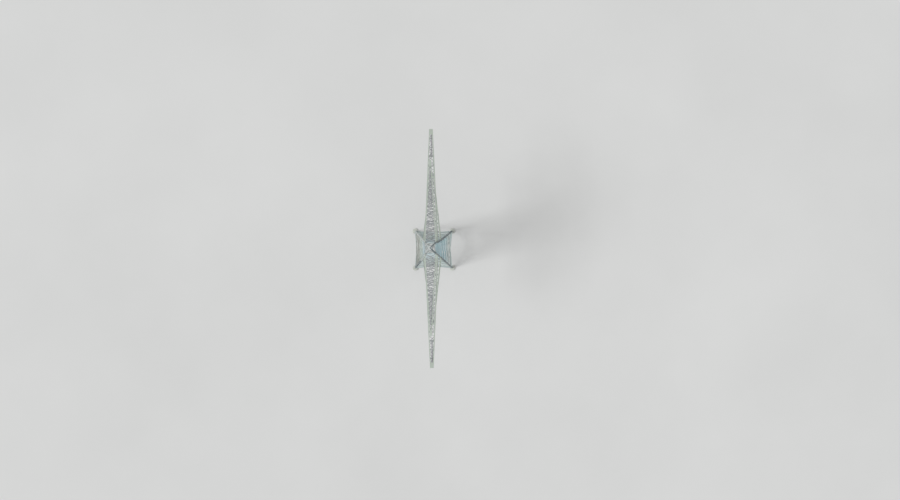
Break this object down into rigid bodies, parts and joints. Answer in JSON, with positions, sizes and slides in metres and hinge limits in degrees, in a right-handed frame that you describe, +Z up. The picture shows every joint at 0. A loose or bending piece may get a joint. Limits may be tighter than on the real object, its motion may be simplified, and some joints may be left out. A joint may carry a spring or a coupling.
{
  "type": "lattice transmission pylon, 1:2 scale model",
  "caption": "Half-size lattice transmission pylon: square tapered body on round concrete caps, three levels of crossarms with hanging insulator strings and wire clamps.",
  "frame": {"origin": "on the ground at the middle of the four footings", "axes": "+Z up, +X along the line of the wires, +Y along the north crossarms"},
  "size_m": [4.08, 16.166, 23.48],
  "materials": {
    "concrete": "matt cast concrete, weathered",
    "leg_steel": "dull weathered galvanising",
    "bracing_steel": "dull weathered galvanising",
    "arm_steel": "dull weathered galvanising",
    "insulator_glaze": "gloss glaze, pale grey",
    "fitting_metal": "cast, matt"
  },
  "bodies": {
    "root": {"footing_ne": "concrete", "footing_nw": "concrete", "footing_sw": "concrete", "footing_se": "concrete", "leg_ne": "leg_steel", "leg_nw": "leg_steel", "leg_sw": "leg_steel", "leg_se": "leg_steel", "portal_bracing": "bracing_steel", "body_side_south": "bracing_steel", "body_side_east": "bracing_steel", "body_side_north": "bracing_steel", "body_side_west": "bracing_steel", "neck_side_south": "bracing_steel", "neck_side_east": "bracing_steel", "neck_side_north": "bracing_steel", "neck_side_west": "bracing_steel", "plan_frames": "bracing_steel", "peak": "bracing_steel", "top_arm_north_east_truss": "arm_steel", "top_arm_north_west_truss": "arm_steel", "top_arm_north_lacing": "arm_steel", "top_arm_south_east_truss": "arm_steel", "top_arm_south_west_truss": "arm_steel", "top_arm_south_lacing": "arm_steel", "middle_arm_north_east_truss": "arm_steel", "middle_arm_north_west_truss": "arm_steel", "middle_arm_north_lacing": "arm_steel", "middle_arm_south_east_truss": "arm_steel", "middle_arm_south_west_truss": "arm_steel", "middle_arm_south_lacing": "arm_steel", "lower_arm_north_east_truss": "arm_steel", "lower_arm_north_west_truss": "arm_steel", "lower_arm_north_lacing": "arm_steel", "lower_arm_south_east_truss": "arm_steel", "lower_arm_south_west_truss": "arm_steel", "lower_arm_south_lacing": "arm_steel", "insulators_north_outer": "insulator_glaze", "insulators_north_inner": "insulator_glaze", "insulator_north_lower": "insulator_glaze", "insulators_south_outer": "insulator_glaze", "insulators_south_inner": "insulator_glaze", "insulator_south_lower": "insulator_glaze", "conductor_clamps_north": "fitting_metal", "conductor_clamps_south": "fitting_metal", "earth_wire_clamps": "fitting_metal"}
  },
  "joints": []
}
